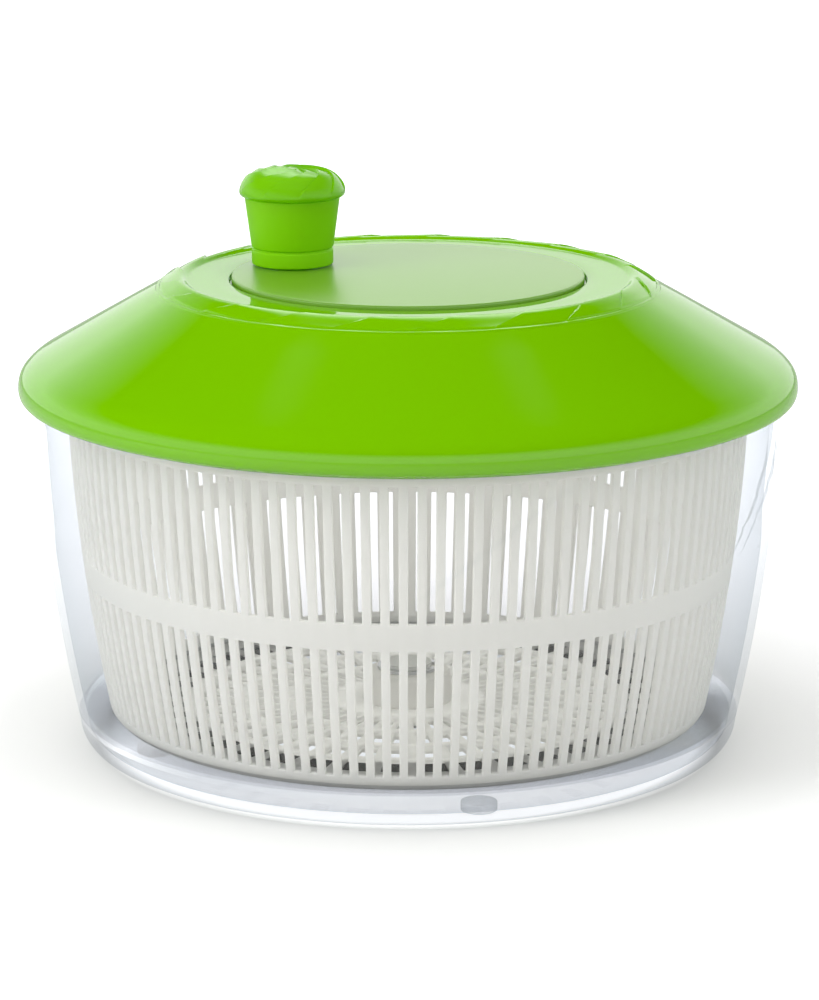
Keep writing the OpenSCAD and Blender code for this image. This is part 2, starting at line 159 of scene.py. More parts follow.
def piece(name, bm, body, nodes, sharp=35):
    """Makes the finished bmesh an object in metres that rides on its body and stands for its CAD nodes."""
    bmesh.ops.scale(bm, vec=(MM, MM, MM), verts=bm.verts)
    mesh = bpy.data.meshes.new(name)
    bm.to_mesh(mesh)
    bm.free()
    mesh.shade_smooth()
    mesh.set_sharp_from_angle(angle=math.radians(sharp))
    obj = bpy.data.objects.new(name, mesh)
    bpy.context.scene.collection.objects.link(obj)
    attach(obj, body)
    if nodes:
        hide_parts(*nodes)
    print(name, "faces", len(mesh.polygons), "size mm", [round(d / MM, 1) for d in obj.dimensions])
    return obj


def move(bm, x, y, z=0):
    bmesh.ops.translate(bm, vec=(x, y, z), verts=bm.verts)


def join(target, part):
    """Adds a bmesh to another and frees it."""
    scratch = bpy.data.meshes.new("scratch")
    part.to_mesh(scratch)
    part.free()
    target.from_mesh(scratch)
    bpy.data.meshes.remove(scratch)


def ease(t):
    """0 below 0, 1 above 1, and a smooth S between."""
    t = min(1, max(0, t))
    return t * t * (3 - 2 * t)


def polar(v):
    return math.hypot(v.x, v.y), math.atan2(v.y, v.x)


def place(v, r, angle):
    v.x = r * math.cos(angle)
    v.y = r * math.sin(angle)


# %% [markdown]
# ## Helpers for materials
# Each plastic is one node material. Colours are written as they look, in sRGB hex, and one function
# makes them linear for the shader.

# %% Material helpers
def colour(code, alpha=1.0):
    parts = [int(code[i:i + 2], 16) / 255 for i in (1, 3, 5)]
    return tuple(p / 12.92 if p <= 0.04045 else ((p + 0.055) / 1.055) ** 2.4 for p in parts) + (alpha,)


def add(tree, kind, inputs=None, **settings):
    """Adds a node. A value in inputs that is a socket is linked, and any other is set."""
    new = tree.nodes.new(kind)
    for key, value in settings.items():
        setattr(new, key, value)
    for key, value in (inputs or {}).items():
        if isinstance(value, bpy.types.NodeSocket):
            tree.links.new(value, new.inputs[key])
        else:
            new.inputs[key].default_value = value
    return new


def material(name):
    """A new material with an empty node tree. Returns the tree and its output node."""
    mat = bpy.data.materials.new(name)
    mat.use_nodes = True
    tree = mat.node_tree
    tree.nodes.clear()
    return mat, tree, add(tree, "ShaderNodeOutputMaterial")


def set_material(obj, mat):
    obj.data.materials.clear()
    obj.data.materials.append(mat)


def grain(tree, size_mm, strength, detail=2.0, distance_mm=0.1):
    """Bump from noise whose grains are size_mm across."""
    place_node = add(tree, "ShaderNodeTexCoord")
    noise = add(tree, "ShaderNodeTexNoise",
                {"Vector": place_node.outputs["Object"], "Scale": 1 / (size_mm * MM), "Detail": detail})
    return add(tree, "ShaderNodeBump",
               {"Height": noise.outputs["Fac"], "Strength": strength, "Distance": distance_mm * MM})


# %% [markdown]
# ## Plastics and metals
# The lid and knob are polypropylene or styrene, coloured through, so light soaks in and glows out again.
# That needs a part of the light to pass through the wall, which a translucent shader gives cheaply.
# The bowl is clear styrene acrylonitrile, polished in its mould. Its shadow is let through, because a clear
# wall hardly darkens what is behind it.

# %% Green plastics
def green_plastic(name, body_hex, through_hex, through, roughness, shine=1.5, bump_args=None):
    mat, tree, out = material(name)
    extra = {}
    if bump_args:
        extra["Normal"] = grain(tree, **bump_args).outputs["Normal"]
    skin = add(tree, "ShaderNodeBsdfPrincipled",
               {"Base Color": colour(body_hex), "Roughness": roughness, "IOR": shine, **extra})
    inner = add(tree, "ShaderNodeBsdfTranslucent", {"Color": colour(through_hex)})
    mix = add(tree, "ShaderNodeMixShader", {0: through, 1: skin.outputs[0], 2: inner.outputs[0]})
    tree.links.new(mix.outputs[0], out.inputs["Surface"])
    return mat


# The lid is polished in its mould: narrow bright reflections on a deep green.
LID_GREEN = green_plastic("polished_green_polystyrene", "#77B800", "#A6E400", 0.28, 0.05, 1.55)
# The disc's etched top spreads the room into a wide pale sheen.
DISC_GREEN = green_plastic("etched_green_polystyrene", "#6EA21E", "#9CD000", 0.22, 0.3, 1.95,
                           bump_args={"size_mm": 0.6, "strength": 0.6})
# The cap is plain moulded plastic: satin, and a little lighter where light comes through.
CAP_GREEN = green_plastic("moulded_green_polypropylene", "#74BA00", "#A8EC00", 0.3, 0.2, 1.38)
# The knob's body is frosted and lets much light through, so it seems to glow.
KNOB_GREEN = green_plastic("frosted_green_polypropylene", "#92DC00", "#B8F000", 0.45, 0.42, 1.35,
                           bump_args={"size_mm": 0.4, "strength": 0.12})


# %% Clear plastics
CLEAR_IOR = 1.5
MIRROR_SHARE = 0.5


def clear_plastic(name, face_hex, slant_hex, roughness, haze):
    """A clear, slightly milky wall that light passes straight through, more dimly at a slant.

    Its outer skin mirrors the room, by a share of what bare plastic of that index would.
    """
    mat, tree, out = material(name)
    slant = add(tree, "ShaderNodeLayerWeight", {"Blend": 0.3})
    tint = add(tree, "ShaderNodeMix",
               {0: slant.outputs["Facing"], 6: colour(face_hex), 7: colour(slant_hex)}, data_type="RGBA")
    through = add(tree, "ShaderNodeBsdfTransparent", {"Color": tint.outputs[2]})
    milk = add(tree, "ShaderNodeBsdfTranslucent", {"Color": (1, 1, 1, 1)})
    hazy = add(tree, "ShaderNodeMixShader", {0: haze, 1: through.outputs[0], 2: milk.outputs[0]})
    mirror = add(tree, "ShaderNodeBsdfGlossy", {"Color": (1, 1, 1, 1), "Roughness": roughness})
    side = add(tree, "ShaderNodeNewGeometry")
    outer = add(tree, "ShaderNodeMath", {0: 1.0, 1: side.outputs["Backfacing"]}, operation="SUBTRACT")
    edge_on = add(tree, "ShaderNodeFresnel", {"IOR": CLEAR_IOR})
    shine = add(tree, "ShaderNodeMath", {0: outer.outputs[0], 1: edge_on.outputs[0]}, operation="MULTIPLY")
    softer = add(tree, "ShaderNodeMath", {0: shine.outputs[0], 1: MIRROR_SHARE}, operation="MULTIPLY")
    skin = add(tree, "ShaderNodeMixShader",
               {0: softer.outputs[0], 1: hazy.outputs[0], 2: mirror.outputs[0]})
    clear = add(tree, "ShaderNodeBsdfTransparent", {"Color": colour("#FAFBFB")})
    path = add(tree, "ShaderNodeLightPath")
    either = add(tree, "ShaderNodeMath",
                 {0: path.outputs["Is Shadow Ray"], 1: path.outputs["Is Diffuse Ray"]}, operation="MAXIMUM")
    mix = add(tree, "ShaderNodeMixShader", {0: either.outputs[0], 1: skin.outputs[0], 2: clear.outputs[0]})
    tree.links.new(mix.outputs[0], out.inputs["Surface"])
    return mat


# The bowl is all but colourless, and shows itself by its edges and its reflections.
BOWL_CLEAR = clear_plastic("clear_styrene_acrylonitrile", "#FBFBFC", "#EAEDF0", 0.02, 0.03)
# The feet are softer and greyer than the bowl, so they show through it.
FOOT_CLEAR = clear_plastic("clear_silicone", "#F6F7F8", "#D8DCDF", 0.08, 0.05)


# %% White plastics and metals
def plain_plastic(name, body_hex, through_hex, through, roughness, size_mm, strength):
    mat, tree, out = material(name)
    normal = grain(tree, size_mm, strength).outputs["Normal"]
    skin = add(tree, "ShaderNodeBsdfPrincipled",
               {"Base Color": colour(body_hex), "Roughness": roughness, "IOR": 1.49, "Normal": normal})
    inner = add(tree, "ShaderNodeBsdfTranslucent", {"Color": colour(through_hex)})
    mix = add(tree, "ShaderNodeMixShader", {0: through, 1: skin.outputs[0], 2: inner.outputs[0]})
    tree.links.new(mix.outputs[0], out.inputs["Surface"])
    return mat


def steel(name, roughness):
    mat, tree, out = material(name)
    normal = grain(tree, 0.3, 0.1).outputs["Normal"]
    skin = add(tree, "ShaderNodeBsdfPrincipled",
               {"Base Color": colour("#C6C7C9"), "Metallic": 1.0, "Roughness": roughness, "Normal": normal})
    tree.links.new(skin.outputs[0], out.inputs["Surface"])
    return mat


# The basket's thin slats let light through, so that even its shaded side is bright.
BASKET_WHITE = plain_plastic("white_polypropylene", "#F1F0EE", "#FFFEFA", 0.58, 0.32, 0.8, 0.06)
# The thicker plates under the lid let little through.
PLATE_WHITE = plain_plastic("white_polypropylene_plate", "#F1F0EC", "#EFE8D2", 0.15, 0.35, 0.8, 0.06)
# Uncoloured acetal is cream and slightly waxy.
GEAR_CREAM = plain_plastic("natural_acetal", "#EFECE0", "#F2EBD2", 0.1, 0.3, 0.5, 0.05)
# The bushes are matt grey beside the white round them.
BEARING = plain_plastic("grey_nylon", "#D5D5D0", "#E6E2D2", 0.08, 0.42, 0.5, 0.08)
# Zinc gives the screws and pins a soft, even shine.
STEEL = steel("bright_zinc_plated_steel", 0.28)

# %% [markdown]
# ## CAD pieces that stay
# The gears, pins, screws and bushes have their real shapes in the CAD model already, so they only
# get their materials.

# %% Materials of the CAD pieces
KEPT = {
    PLATE_WHITE: ["gear_carrier", "drive_plate"],
    GEAR_CREAM: ["ring_gear", "idler_gear_1", "idler_gear_2", "idler_gear_3", "sun_gear"],
    BEARING: ["basket_bush", "sun_bush"],
    STEEL: ["pivot_pin", "bush_clip", "carrier_screws", "idler_pins", "ring_gear_washer", "ring_gear_screw",
            "knob_washer", "knob_screw", "thrust_washer", "drive_washer", "drive_screw"],
}
for kept_material, names in KEPT.items():
    for name in names:
        set_material(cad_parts[name], kept_material)
print("kept CAD pieces:", sum(len(names) for names in KEPT.values()))

# %% [markdown]
# ## Bowl
# The real bowl is injection moulded, with six shallow flutes that sweep round its upper half. A spun
# outline gives both faces of the wall. The flutes are then pressed in: each ring of points is turned
# a little further than the one below it, so that the mesh runs along the creases, and the wall moves in
# and out by a wave with one sharp side.

# %% Bowl
BOWL_WALL = 2.6
BOWL_FLOOR = 3.5
HEEL_R = 111.2
HEEL_ROUND = 8
FLUTES = 6
FLUTE_LOW, FLUTE_HIGH = 70, 118
FLUTE_SWEEP = math.radians(31)
FLUTE_DEPTH = 1.3


def bowl_r(z):
    """Outer radius of the wall: it flares at the foot and straightens at the rim."""
    t = min(1, max(0, (z - BOWL_Z - HEEL_ROUND) / (RIM_Z - BOWL_Z - HEEL_ROUND)))
    return HEEL_R + (RIM_R - HEEL_R) * (1.75 * t - 0.75 * t * t)


def bowl_outline():
    wall_z = BOWL_Z + HEEL_ROUND
    heights = [wall_z + (RIM_Z - 0.8 - wall_z) * k / 56 for k in range(57)]
    outer_heel = [(HEEL_R - HEEL_ROUND + HEEL_ROUND * math.sin(a), BOWL_Z + HEEL_ROUND * (1 - math.cos(a)))
                  for a in (math.radians(d) for d in range(0, 90, 6))]
    inner_round = HEEL_ROUND - BOWL_WALL
    floor_z = BOWL_Z + BOWL_FLOOR
    inner_heel = [(HEEL_R - HEEL_ROUND + inner_round * math.sin(a),
                   floor_z + (wall_z - floor_z) * (1 - math.cos(a)))
                  for a in (math.radians(d) for d in range(84, -1, -6))]
    lip = [(RIM_R - 0.3, RIM_Z - 0.2), (RIM_R - 0.9, RIM_Z), (RIM_R - BOWL_WALL + 0.9, RIM_Z),
           (RIM_R - BOWL_WALL + 0.3, RIM_Z - 0.2)]
    outside = [(bowl_r(z), z) for z in heights]
    inside = [(bowl_r(z) - BOWL_WALL, z) for z in reversed(heights)]
    under = [(0, BOWL_Z), (30, BOWL_Z), (60, BOWL_Z), (80, BOWL_Z)]
    floor = [(96, floor_z), (60, floor_z), (30, floor_z), (10, floor_z), (8, floor_z + 4), (0, floor_z + 4)]
    return under + outer_heel + outside + lip + inside + inner_heel + floor


def press_flutes(bm):
    """Turns each ring along the sweep, then moves the wall in by a wave that is sharp on one side."""
    for v in bm.verts:
        if v.co.z < 12:
            continue
        r, angle = polar(v.co)
        rise = min(1, max(0, (v.co.z - FLUTE_LOW) / (FLUTE_HIGH - FLUTE_LOW)))
        share = (angle / math.tau * FLUTES) % 1
        wave = share ** 1.6
        fade = ease((v.co.z - FLUTE_LOW + 8 * wave) / 14) * ease((RIM_Z - 5 - v.co.z) / 8)
        place(v.co, r - FLUTE_DEPTH * (1 - wave) * fade, angle + FLUTE_SWEEP * rise + FLUTE_START)


FLUTE_START = math.radians(-93.5)
bowl_mesh = turned(bowl_outline(), 360, closed=False)
press_flutes(bowl_mesh)
bowl = piece("clear_bowl", bowl_mesh, "bowl", ["bowl"], sharp=60)
set_material(bowl, BOWL_CLEAR)

# %% [markdown]
# ## Foot pads
# Four soft clear pads are pushed into pockets under the bowl. Each is a short turned button.

# %% Foot pads
FOOT_R = 5.9
FOOT_CIRCLE = 88
FOOT_TOP = top("foot_pads")
pads = bmesh.new()
for k in range(4):
    angle = math.radians(-75 + 90 * k)
    button = turned(rounded([(0, 0, 0), (FOOT_R, 0, 0.8), (FOOT_R, FOOT_TOP, 0.4), (0, FOOT_TOP, 0)]), 40,
                    closed=False)
    move(button, FOOT_CIRCLE * math.cos(angle), FOOT_CIRCLE * math.sin(angle))
    join(pads, button)
feet = piece("clear_foot_pads", pads, "bowl", ["foot_pads"])
set_material(feet, FOOT_CLEAR)

# %% [markdown]
# ## Basket
# The basket's wall is a spun sheet of 240 columns. Every second column is a slot in two rows, so those
# faces are taken out, and Solidify gives the sheet its two millimetres. A small bevel softens the slats.

# %% Basket wall
COLUMNS = 240
BASKET_Z = bottom("basket")
BASKET_TOP = top("basket")
BASKET_RIM_Z = BASKET_TOP - 5
BASKET_GAP = 8.5
BASKET_WALL = 2.0
BAND_LOW, BAND_HIGH = 59, 68
SLOT_LOW = BASKET_Z + 5.5
SLOT_HIGH = BASKET_RIM_Z - 0.6


def basket_r(z):
    return bowl_r(z) - BOWL_WALL - BASKET_GAP


def in_slot(z):
    return SLOT_LOW < z < BAND_LOW or BAND_HIGH < z < SLOT_HIGH


wall_heights = [SLOT_LOW, 26, 37, 48, BAND_LOW, BAND_HIGH, 79, 90, 101, SLOT_HIGH, BASKET_RIM_Z, BASKET_TOP]
wall_outline = rounded([(basket_r(BASKET_Z) - 7, BASKET_Z, 0), (basket_r(SLOT_LOW) - 3.6, BASKET_Z, 2.5),
                        (basket_r(SLOT_LOW) - 0.4, SLOT_LOW - 2.5, 2), (basket_r(SLOT_LOW), SLOT_LOW, 0)], 3)
wall_outline += [(basket_r(z), z) for z in wall_heights[1:]]
wall = turned(wall_outline, COLUMNS, closed=False)
slots = []
for face in wall.faces:
    centre = face.calc_center_median()
    column = int(polar(centre)[1] / math.tau * COLUMNS + COLUMNS)
    if column % 2 == 0 and in_slot(centre.z):
        slots.append(face)
bmesh.ops.delete(wall, geom=slots, context="FACES")
bmesh.ops.recalc_face_normals(wall, faces=wall.faces)


def outward(face):
    """How far a face of the wall looks away from the axis."""
    centre = face.calc_center_median()
    return face.normal.dot(Vector((centre.x, centre.y, 0)))


if sum(outward(face) for face in wall.faces) < 0:
    bmesh.ops.reverse_faces(wall, faces=wall.faces)
print("slots cut:", len(slots))
basket = piece("slotted_basket_wall", wall, "basket", ["basket"], sharp=30)
solidify = basket.modifiers.new("wall", "SOLIDIFY")
solidify.thickness = BASKET_WALL * MM
solidify.offset = -1
soften = basket.modifiers.new("soft_edges", "BEVEL")
soften.width = 0.35 * MM
soften.segments = 2
soften.limit_method = "ANGLE"
soften.angle_limit = math.radians(40)
set_material(basket, BASKET_WHITE)

# %% Basket rim and floor
RIM_WIDTH = 4.4
rim_out = basket_r(BASKET_RIM_Z) + 0.6
rim_outline = rounded([(rim_out, BASKET_RIM_Z + 0.2, 0.5), (rim_out, BASKET_TOP, 0.6),
                       (rim_out - RIM_WIDTH, BASKET_TOP, 0.6),
                       (rim_out - RIM_WIDTH, BASKET_RIM_Z + 0.2, 0.5)], 3)
rim = turned(rim_outline, COLUMNS)
basket_rim = piece("basket_rim", rim, "basket", [])
set_material(basket_rim, BASKET_WHITE)

FLOOR_T = 2.5
HUB_R = 14
HUB_TOP = top("basket_bush") - 2.6
OPEN_RINGS = ((26, 38), (42, 54), (58, 70), (74, 86))
ring_edges = [r for open_ring in OPEN_RINGS for r in open_ring]
rings = [HUB_R, 22] + ring_edges + [90, basket_r(BASKET_Z) - 6.5]
outline = [(r, BASKET_Z + FLOOR_T) for r in rings]
floor_mesh = turned(outline, COLUMNS // 2, closed=False)
holes = []
for face in floor_mesh.faces:
    centre = face.calc_center_median()
    r, angle = polar(centre)
    column = int(angle / math.tau * COLUMNS / 2 + COLUMNS)
    in_open_ring = any(low < r < high for low, high in OPEN_RINGS)
    if in_open_ring and column % 3 != 0:
        holes.append(face)
bmesh.ops.delete(floor_mesh, geom=holes, context="FACES")
bmesh.ops.recalc_face_normals(floor_mesh, faces=floor_mesh.faces)
if sum(f.normal.z for f in floor_mesh.faces) < 0:
    bmesh.ops.reverse_faces(floor_mesh, faces=floor_mesh.faces)
basket_floor = piece("basket_floor", floor_mesh, "basket", [])
thick = basket_floor.modifiers.new("floor", "SOLIDIFY")
thick.thickness = FLOOR_T * MM
thick.offset = -1
set_material(basket_floor, BASKET_WHITE)

BUSH_R = 8.06
hub_low = bottom("basket_bush") + 1.8
hub = turned(rounded([(BUSH_R, hub_low, 0.3), (HUB_R, hub_low, 0.4), (HUB_R + 1.5, BASKET_Z + FLOOR_T, 1),
                      (HUB_R, HUB_TOP, 1.5), (BUSH_R, HUB_TOP, 0.4)], 4), 96)
basket_hub = piece("basket_hub", hub, "basket", [])
set_material(basket_hub, BASKET_WHITE)

# %% [markdown]
# ## Lid shell
# One spun outline holds the skirt, the cone, the rope ring, the deck and the hollow inside. The rope ring
# is twenty overlapping petals: the rings of points there are turned so that the mesh follows the
# petals' edges, and each petal swells slowly and ends in a sharp step, as on the mould.

# %% Lid shell
PETALS = 20
PETAL_SWEEP = math.radians(17)
PETAL_HEIGHT = 0.75
CREST_R = 77.4
WELL_R = DISC_R + 0.7
LID_WALL = 2.2
SEAT_Z = RIM_Z + 0.3
PLUG_R = RIM_R - BOWL_WALL - 0.6
DISC_THICK = 2.7
WELL_Z = DISC_TOP - DISC_THICK - 0.4
SHAFT_BORE_R = 9.06
COLLAR_UNDER = WELL_Z - LID_WALL - 1.6
BAND_OUT_R, BAND_IN_R = 83.6, 72.6

lid_skirt = [
    (RIM_R + 0.35, LIP_Z, 0.3), (LID_R - 3.4, LIP_Z, 0.8), (LID_R - 0.7, LIP_Z + 1.3, 1.2),
    (LID_R, RIM_Z + 1.6, 1.6), (LID_R - 0.6, RIM_Z + 6.2, 2.6), (LID_R - 4.6, RIM_Z + 10.2, 3.2)]
lid_rope = [
    (BAND_OUT_R + 0.3, DECK_Z - 2.95, 0.3), (BAND_OUT_R, DECK_Z - 2.35, 0.3),
    (BAND_OUT_R - 0.9, DECK_Z - 2.1, 0.3), (BAND_OUT_R - 1.3, DECK_Z - 1.3, 0.6),
    (CREST_R + 0.6, DECK_Z + 1.0, 2), (CREST_R - 1.8, DECK_Z + 1.5, 1.2), (BAND_IN_R + 0.8, DECK_Z, 0.6)]
lid_well = [(WELL_R + 0.2, DECK_Z, 0.5), (WELL_R, WELL_Z, 0.5), (SHAFT_BORE_R, WELL_Z, 0)]
lid_outside = lid_skirt + lid_rope + lid_well
lid_inside = [
    (SHAFT_BORE_R, COLLAR_UNDER, 0.3), (SHAFT_BORE_R + 3, COLLAR_UNDER, 0.3),
    (SHAFT_BORE_R + 3, WELL_Z - LID_WALL, 0.6), (WELL_R + LID_WALL, WELL_Z - LID_WALL, 0.5),
    (WELL_R + LID_WALL + 1, DECK_Z - LID_WALL, 0.8), (CREST_R + 2, DECK_Z - LID_WALL - 0.6, 2),
    (LID_R - 6.2, RIM_Z + 7.6, 2.5), (LID_R - 3.2, RIM_Z + 4.4, 1.5),
    (LID_R - 2.6, SEAT_Z + 1.7, 0.5), (PLUG_R - 1.7, SEAT_Z + 1.7, 0.5), (PLUG_R - 1.7, RIM_Z - 3.5, 0.4),
    (PLUG_R, RIM_Z - 3.5, 0.4), (PLUG_R, SEAT_Z, 0), (RIM_R + 0.35, SEAT_Z, 0)]
outside_points = divided(rounded(lid_outside, 4), 9)
band_points = [p for p in outside_points if BAND_IN_R < p[0] < BAND_OUT_R and p[1] > DECK_Z - 3]
print("rope ring has", len(band_points), "rings of points")
lid_mesh = turned(outside_points + rounded(lid_inside, 2), 720)


def press_petals(bm):
    """Turns the rings of the rope band along its petals and swells each petal."""
    for v in bm.verts:
        r, angle = polar(v.co)
        if r < 20 or v.co.z < DECK_Z - 3.2:
            continue
        across = (BAND_OUT_R - r) / (BAND_OUT_R - BAND_IN_R)
        share = (angle / math.tau * PETALS) % 1
        swell = (1 - share) ** 1.3
        window = ease(across / 0.2) * ease((0.85 - across) / 0.35)
        v.co.z += PETAL_HEIGHT * (swell - 0.6) * window
        place(v.co, r, angle + PETAL_SWEEP * min(1, max(0, across)))


press_petals(lid_mesh)
lid = piece("domed_lid_shell", lid_mesh, "lid", ["lid_shell"], sharp=50)
set_material(lid, LID_GREEN)

# %% Lid ribs
ribs = bmesh.new()
RIBS = 12
RIB_T = 1.4
rib_side = [(RIM_R - 4, SEAT_Z + 1.2), (LID_R - 2.2, SEAT_Z + 1.2), (LID_R - 2.8, RIM_Z + 5),
            (LID_R - 6, RIM_Z + 8.6), (LID_R - 11, RIM_Z + 11.6), (LID_R - 12.5, RIM_Z + 10.7)]
for k in range(RIBS):
    turn = Matrix.Rotation(math.tau * k / RIBS, 4, "Z")
    face = ribs.faces.new([ribs.verts.new(turn @ Vector((r, -RIB_T / 2, z))) for r, z in rib_side])
    grown = bmesh.ops.extrude_face_region(ribs, geom=[face])
    grown_verts = [g for g in grown["geom"] if isinstance(g, bmesh.types.BMVert)]
    bmesh.ops.translate(ribs, vec=turn @ Vector((0, RIB_T, 0)), verts=grown_verts)
bmesh.ops.recalc_face_normals(ribs, faces=ribs.faces)
lid_ribs = piece("lid_ribs", ribs, "lid", [])
set_material(lid_ribs, LID_GREEN)

# %% [markdown]
# ## Crank disc
# The crank is one moulding: a thin disc with a soft edge, the post that the knob turns on and the shaft
# that goes down through the lid. Its top is etched, which spreads reflections into a pale sheen.

# %% Crank disc
POST_R = 5.0
POST_TOP = bottom("knob_washer")
SHAFT_R = 9
TIP_R = 6
WEB_TOP = top("ring_gear")
TIP_Z = WEB_TOP - 2.1
disc_outline = rounded([(0, DISC_TOP, 0), (DISC_R, DISC_TOP, 0.7), (DISC_R, DISC_TOP - DISC_THICK, 0.3),
                        (SHAFT_R, DISC_TOP - DISC_THICK, 0), (SHAFT_R, WEB_TOP, 0.3), (TIP_R, WEB_TOP, 0),
                        (TIP_R, TIP_Z, 0.2), (0, TIP_Z, 0)], 4)
disc = turned(disc_outline, 256, closed=False)
post_outline = rounded([(0, DISC_TOP - 1, 0), (POST_R, DISC_TOP - 1, 0), (POST_R, POST_TOP, 0.3),
                        (0, POST_TOP, 0)])
post = turned(post_outline, 48, closed=False)
move(post, KNOB_X, KNOB_Y)
join(disc, post)
crank = piece("crank_disc_and_shaft", disc, "crank", ["crank_disc"])
set_material(crank, DISC_GREEN)

# %% [markdown]
# ## Knob
# The knob's body is a turned taper on a collar. The cap is a mushroom with nine petals that sweep
# round its top, made as the rope ring is.

# %% Knob body
COLLAR_R = 13.7
TAPER_R = 16.0
KNOB_Z = bottom("knob_body")
COLLAR_TOP = KNOB_Z + 6
KNOB_BORE_R = 5.06
HOLLOW_R = TAPER_R - 6
TAPER_TOP = top("knob_body")
HOLLOW_Z = TAPER_TOP - 7.1
CAP_R = (knob_high.x - knob_low.x) / 2 / MM
body_outline = rounded([(KNOB_BORE_R, KNOB_Z, 0.2), (COLLAR_R, KNOB_Z, 0.6),
                        (COLLAR_R, COLLAR_TOP - 1.1, 0.3),
                        (COLLAR_R - 0.5, COLLAR_TOP - 0.8, 0.2), (COLLAR_R - 0.5, COLLAR_TOP - 0.3, 0.2),
                        (COLLAR_R + 0.1, COLLAR_TOP, 0.3), (TAPER_R, TAPER_TOP, 0.4),
                        (HOLLOW_R, TAPER_TOP, 0.2), (HOLLOW_R, HOLLOW_Z, 0), (KNOB_BORE_R, HOLLOW_Z, 0)], 4)
body_mesh = turned(divided(body_outline, 4), 128)
move(body_mesh, KNOB_X, KNOB_Y)
knob_body = piece("knob_body_sleeve", body_mesh, "knob", ["knob_body"])
set_material(knob_body, KNOB_GREEN)

# %% Knob cap
SWIRLS = 9
SWIRL_SWEEP = math.radians(120)
SWIRL_DEPTH = 0.9
cap_corners = [(TAPER_R - 7, TAPER_TOP, 0), (TAPER_R - 0.2, TAPER_TOP, 0.3), (CAP_R, TAPER_TOP + 0.6, 1.4),
               (CAP_R, TAPER_TOP + 3.8, 1.8), (CAP_R - 3.4, TAPER_TOP + 8.2, 3),
               (CAP_R - 9, KNOB_TOP - 0.2, 3), (0, KNOB_TOP - 0.4, 0)]
cap_mesh = turned(divided(rounded(cap_corners, 6), 1.2), 360, closed=False)
for v in cap_mesh.verts:
    r, angle = polar(v.co)
    if v.co.z < TAPER_TOP + 0.5 or r < 0.01:
        continue
    inward = min(1, max(0, (CAP_R - r) / CAP_R))
    share = (angle / math.tau * SWIRLS) % 1
    swell = (1 - share) ** 1.2
    window = ease((v.co.z - TAPER_TOP - 1) / 3) * ease((r - 1) / 5)
    v.co.z -= SWIRL_DEPTH * (1 - swell) * window * (0.35 + inward)
    place(v.co, r - 0.5 * SWIRL_DEPTH * (1 - swell) * window, angle + SWIRL_SWEEP * inward)
move(cap_mesh, KNOB_X, KNOB_Y)
knob_cap = piece("swirled_knob_cap", cap_mesh, "knob", ["knob_cap"], sharp=60)
set_material(knob_cap, CAP_GREEN)

# %% [markdown]
# ## Floor, background and light
# A white table and a white room are the plain studio for a white and clear object. The floor keeps the
# shadow. What the camera sees of it, straight on or through clear plastic, is lifted towards white by a
# glow that grows with the distance. Under the bowl the glow is full, a painted light over the shadow that
# the basket casts there, which lightens the clear base.

# %% Floor
FADE_FROM, FADE_TO = 0.14, 0.5
NEAR_GLOW, FAR_GLOW = 0.05, 0.6
# Painted light: the glow is full on the floor inside the first radius, under the bowl, and gone by the
# second.
PAINTED_LIGHT_R, PAINTED_LIGHT_END = 0.098, 0.106
FLOOR_R = 6


def stage_material(name, shade_hex):
    """Paper for the floor. It fades into the white background away from the object."""
    mat, tree, out = material(name)
    spot = add(tree, "ShaderNodeTexCoord")
    away = add(tree, "ShaderNodeVectorMath", {0: spot.outputs["Object"]}, operation="LENGTH")
    fade = add(tree, "ShaderNodeMapRange",
               {"Value": away.outputs["Value"], "From Min": FADE_FROM, "From Max": FADE_TO,
                "To Min": NEAR_GLOW, "To Max": FAR_GLOW})
    # Painted light on the floor under the bowl, where the basket's shadow falls, seen through the clear
    # base.
    under = add(tree, "ShaderNodeMapRange",
                {"Value": away.outputs["Value"], "From Min": PAINTED_LIGHT_R, "From Max": PAINTED_LIGHT_END,
                 "To Min": 1.0, "To Max": 0.0})
    rise = add(tree, "ShaderNodeMath", {0: fade.outputs[0], 1: under.outputs[0]}, operation="MAXIMUM")
    diffuse = add(tree, "ShaderNodeBsdfDiffuse", {"Color": colour(shade_hex)})
    glow = add(tree, "ShaderNodeEmission", {"Color": (1, 1, 1, 1), "Strength": rise.outputs[0]})
    path = add(tree, "ShaderNodeLightPath")
    seen = add(tree, "ShaderNodeMath",
               {0: path.outputs["Is Camera Ray"], 1: path.outputs["Is Transmission Ray"]},
               operation="MAXIMUM")
    both = add(tree, "ShaderNodeAddShader", {0: diffuse.outputs[0], 1: glow.outputs[0]})
    mix = add(tree, "ShaderNodeMixShader", {0: seen.outputs[0], 1: diffuse.outputs[0], 2: both.outputs[0]})
    tree.links.new(mix.outputs[0], out.inputs["Surface"])
    return mat


floor_bm = bmesh.new()
bmesh.ops.create_circle(floor_bm, cap_ends=True, segments=96, radius=FLOOR_R)
floor_data = bpy.data.meshes.new("floor")
floor_bm.to_mesh(floor_data)
floor_bm.free()
floor = bpy.data.objects.new("floor", floor_data)
bpy.context.scene.collection.objects.link(floor)
set_material(floor, stage_material("white_paper", "#E7E7E7"))

# %% [markdown]
# ## World
# The camera sees a plain white room, and an even light fills the shadows. Mirrored rays see other things: a
# bright band low round the room, and one soft panel high up behind the object.

# %% World
PANEL = 4.5
LOW_BAND = 1.65
EVEN = 0.75
WHITE = 1.0
world = bpy.data.worlds.new("studio")
bpy.context.scene.world = world
world.use_nodes = True
sky = world.node_tree
sky.nodes.clear()
sky_out = add(sky, "ShaderNodeOutputWorld")
direction = add(sky, "ShaderNodeTexCoord")
split = add(sky, "ShaderNodeSeparateXYZ", {0: direction.outputs["Generated"]})
height = add(sky, "ShaderNodeMapRange",
             {"Value": split.outputs["Z"], "From Min": 0.3, "From Max": 0.6,
              "To Min": LOW_BAND, "To Max": 0.0})


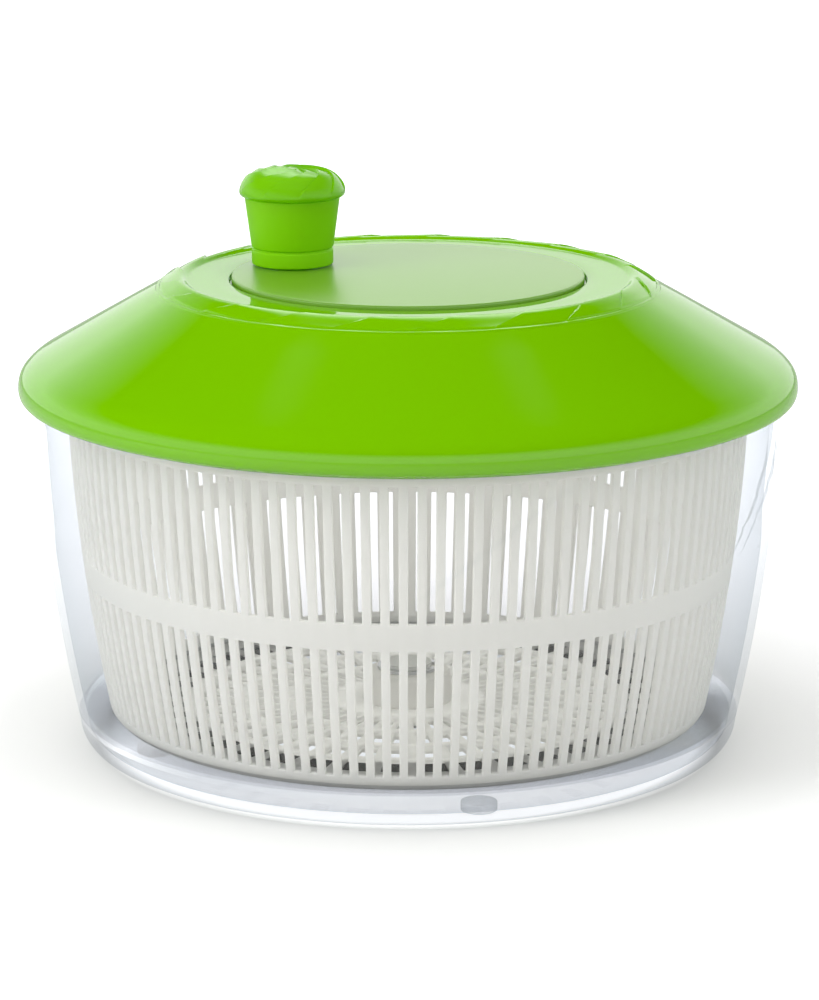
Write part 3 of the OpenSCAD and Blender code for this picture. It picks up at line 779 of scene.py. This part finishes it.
def ramp(value, low, high, start, end):
    """A smooth step from start to end while value goes from low to high."""
    return add(sky, "ShaderNodeMapRange",
               {"Value": value, "From Min": low, "From Max": high, "To Min": start, "To Max": end},
               interpolation_type="SMOOTHSTEP").outputs[0]


def times(a, b):
    return add(sky, "ShaderNodeMath", {0: a, 1: b}, operation="MULTIPLY").outputs[0]


sideways = add(sky, "ShaderNodeMath", {0: split.outputs["X"]}, operation="ABSOLUTE").outputs[0]
panel = times(ramp(split.outputs["Z"], 0.42, 0.62, 0, PANEL), ramp(split.outputs["Z"], 0.74, 0.92, 1, 0))
panel = times(panel, times(ramp(sideways, 0.18, 0.3, 1, 0), ramp(split.outputs["Y"], 0, 0.2, 0, 1)))
seen_room = add(sky, "ShaderNodeMath", {0: height.outputs[0], 1: panel}, operation="ADD")
mirrored = add(sky, "ShaderNodeBackground", {"Color": (1, 1, 1, 1), "Strength": seen_room.outputs[0]})
even = add(sky, "ShaderNodeBackground", {"Color": (1, 1, 1, 1), "Strength": EVEN})
white = add(sky, "ShaderNodeBackground", {"Color": (1, 1, 1, 1), "Strength": WHITE})
sky_path = add(sky, "ShaderNodeLightPath")
room = add(sky, "ShaderNodeMixShader",
           {0: sky_path.outputs["Is Glossy Ray"], 1: even.outputs[0], 2: mirrored.outputs[0]})
plain = add(sky, "ShaderNodeMath",
            {0: sky_path.outputs["Is Camera Ray"], 1: sky_path.outputs["Is Transmission Ray"]},
            operation="MAXIMUM")
sky_mix = add(sky, "ShaderNodeMixShader", {0: plain.outputs[0], 1: room.outputs[0], 2: white.outputs[0]})
sky.links.new(sky_mix.outputs[0], sky_out.inputs["Surface"])


# %% Lamps
def softbox(name, place_m, aim_m, width, tall, watts):
    """A rectangular lamp aimed at a point. Nothing mirrors it, because the world has the reflections."""
    data = bpy.data.lights.new(name, "AREA")
    data.shape = "RECTANGLE"
    data.size = width
    data.size_y = tall
    data.energy = watts
    lamp = bpy.data.objects.new(name, data)
    bpy.context.scene.collection.objects.link(lamp)
    lamp.location = place_m
    lamp.visible_glossy = False
    lamp.rotation_euler = (Vector(aim_m) - Vector(place_m)).to_track_quat("-Z", "Y").to_euler()


softbox("left_softbox", (-1.2, -0.6, 0.75), (0, 0, 0.08), 0.7, 1.0, 13)
softbox("right_softbox", (1.3, -0.5, 0.7), (0, 0, 0.08), 0.6, 0.9, 5)
softbox("overhead_softbox", (0, -0.1, 1.5), (0, 0, 0), 1.6, 1.6, 11)

# %% [markdown]
# ## Finish
# The view transform is plain, so a colour shows as it was written.

# %% Finish
bpy.context.scene.view_settings.view_transform = "Standard"
